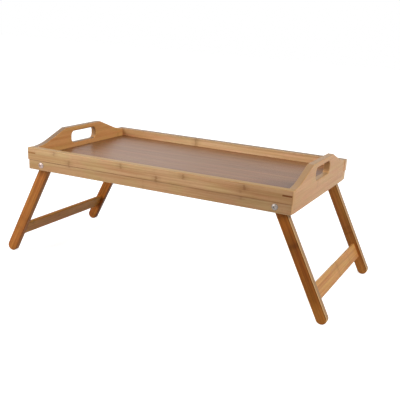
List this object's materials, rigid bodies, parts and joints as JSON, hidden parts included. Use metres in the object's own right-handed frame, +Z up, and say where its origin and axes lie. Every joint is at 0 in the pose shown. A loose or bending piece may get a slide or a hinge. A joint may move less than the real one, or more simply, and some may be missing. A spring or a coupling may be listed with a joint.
{
  "type": "folding bed tray table",
  "caption": "Bamboo bed tray with raised handles at both ends and two fold-flat leg frames that open out against the end boards.",
  "frame": {"origin": "on the ground under the middle of the tray, with the legs open", "axes": "+X along the tray to the right, -Y to the front, +Z up"},
  "size_m": [0.6374, 0.3018, 0.2343],
  "materials": {
    "bamboo": "satin lacquer over pale laminated bamboo",
    "bamboo_floor": "gloss lacquer over fine laminated bamboo",
    "bamboo_legs": "satin lacquer over darker caramel bamboo",
    "bamboo_key": "dark glued edge grain",
    "bamboo_dowel": "raw bamboo",
    "steel": "zinc plated"
  },
  "bodies": {
    "tray": {"front_upper_rail": "bamboo", "front_lower_rail": "bamboo", "rear_upper_rail": "bamboo", "rear_lower_rail": "bamboo", "left_end_board": "bamboo", "right_end_board": "bamboo", "tray_floor": "bamboo_floor", "front_left_corner_key": "bamboo_key", "front_right_corner_key": "bamboo_key", "rear_left_corner_key": "bamboo_key", "rear_right_corner_key": "bamboo_key", "corner_dowels": "bamboo_dowel", "pivot_bolts": "steel", "spacer_washers": "steel", "nut_washers": "steel", "lock_nuts": "steel"},
    "left_legs": {"front_left_leg": "bamboo_legs", "rear_left_leg": "bamboo_legs", "left_crossbar": "bamboo_legs"},
    "right_legs": {"front_right_leg": "bamboo_legs", "rear_right_leg": "bamboo_legs", "right_crossbar": "bamboo_legs"}
  },
  "joints": [
    {"name": "left_leg_fold", "type": "hinge", "parent": "tray", "child": "left_legs", "pos_m": [-0.22171, 0, 0.181], "axis": [0, -1, 0], "range_deg": [0, 117]},
    {"name": "right_leg_fold", "type": "hinge", "parent": "tray", "child": "right_legs", "pos_m": [0.22171, 0, 0.181], "axis": [0, 1, 0], "range_deg": [0, 117]}
  ]
}
